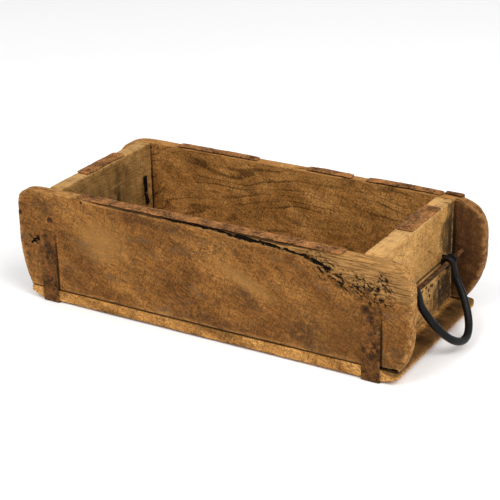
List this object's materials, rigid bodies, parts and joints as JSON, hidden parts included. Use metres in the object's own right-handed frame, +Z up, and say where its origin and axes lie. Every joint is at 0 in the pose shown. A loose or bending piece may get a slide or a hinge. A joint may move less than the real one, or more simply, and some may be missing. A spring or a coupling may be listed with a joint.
{
  "type": "butter mold",
  "caption": "Long open-topped wooden mold box with iron straps, rim strips and a swinging iron bail handle at each end.",
  "frame": {"origin": "middle of the surface that the box stands on, under the middle of its length and width", "axes": "+X along the box towards its right-hand bail, +Y from the front side board to the back side board, +Z up out of the open top"},
  "size_m": [0.381, 0.1546, 0.0997],
  "materials": {
    "board_wood": "worn, oiled and stained warm brown",
    "end_wood": "worn, light tan outside and grey-olive inside",
    "strap_iron": "rusted dark brown",
    "rim_iron": "rusted reddish brown, rubbed along the edges",
    "rod_iron": "light rust",
    "black_iron": "black, satin",
    "nail_iron": "dark oxide"
  },
  "bodies": {
    "box": {"back_rim_nail_1": "nail_iron", "back_rim_nail_2": "nail_iron", "back_rim_nail_3": "nail_iron", "back_rim_nail_4": "nail_iron", "back_rim_nail_5": "nail_iron", "back_rim_nail_6": "nail_iron", "back_rim_strip_left": "rim_iron", "back_rim_strip_middle": "rim_iron", "back_rim_strip_right": "rim_iron", "back_side_board": "board_wood", "bottom_board": "board_wood", "bottom_board_nail_1": "nail_iron", "bottom_board_nail_2": "nail_iron", "bottom_board_nail_3": "nail_iron", "bottom_board_nail_4": "nail_iron", "bottom_board_nail_5": "nail_iron", "bottom_board_nail_6": "nail_iron", "front_board_nail_1": "nail_iron", "front_board_nail_2": "nail_iron", "front_rim_nail_1": "nail_iron", "front_rim_nail_2": "nail_iron", "front_rim_nail_3": "nail_iron", "front_rim_nail_4": "nail_iron", "front_rim_strip": "rim_iron", "front_side_board": "board_wood", "left_back_split_pin": "black_iron", "left_cross_rod": "rod_iron", "left_end_board": "end_wood", "left_front_split_pin": "black_iron", "left_rim_plate": "rim_iron", "left_strap": "strap_iron", "left_strap_nail_1": "nail_iron", "left_strap_nail_2": "nail_iron", "left_strap_nail_3": "nail_iron", "left_strap_nail_4": "nail_iron", "right_back_split_pin": "black_iron", "right_cross_rod": "rod_iron", "right_end_board": "end_wood", "right_front_split_pin": "black_iron", "right_rim_plate": "rim_iron", "right_strap": "strap_iron", "right_strap_nail_1": "nail_iron", "right_strap_nail_2": "nail_iron", "right_strap_nail_3": "nail_iron", "right_strap_nail_4": "nail_iron", "rim_plate_nail_1": "nail_iron", "rim_plate_nail_2": "nail_iron", "rim_plate_nail_3": "nail_iron", "rim_plate_nail_4": "nail_iron"},
    "left_bail": {"left_bail_handle": "black_iron"},
    "right_bail": {"right_bail_handle": "black_iron"}
  },
  "joints": [
    {"name": "left_bail_hinge", "type": "hinge", "parent": "box", "child": "left_bail", "pos_m": [-0.1578, 0.002, 0.0545], "axis": [0, 1, 0], "range_deg": [-10, 148]},
    {"name": "right_bail_hinge", "type": "hinge", "parent": "box", "child": "right_bail", "pos_m": [0.1578, 0.0057, 0.0545], "axis": [0, -1, 0], "range_deg": [-10, 148]}
  ]
}
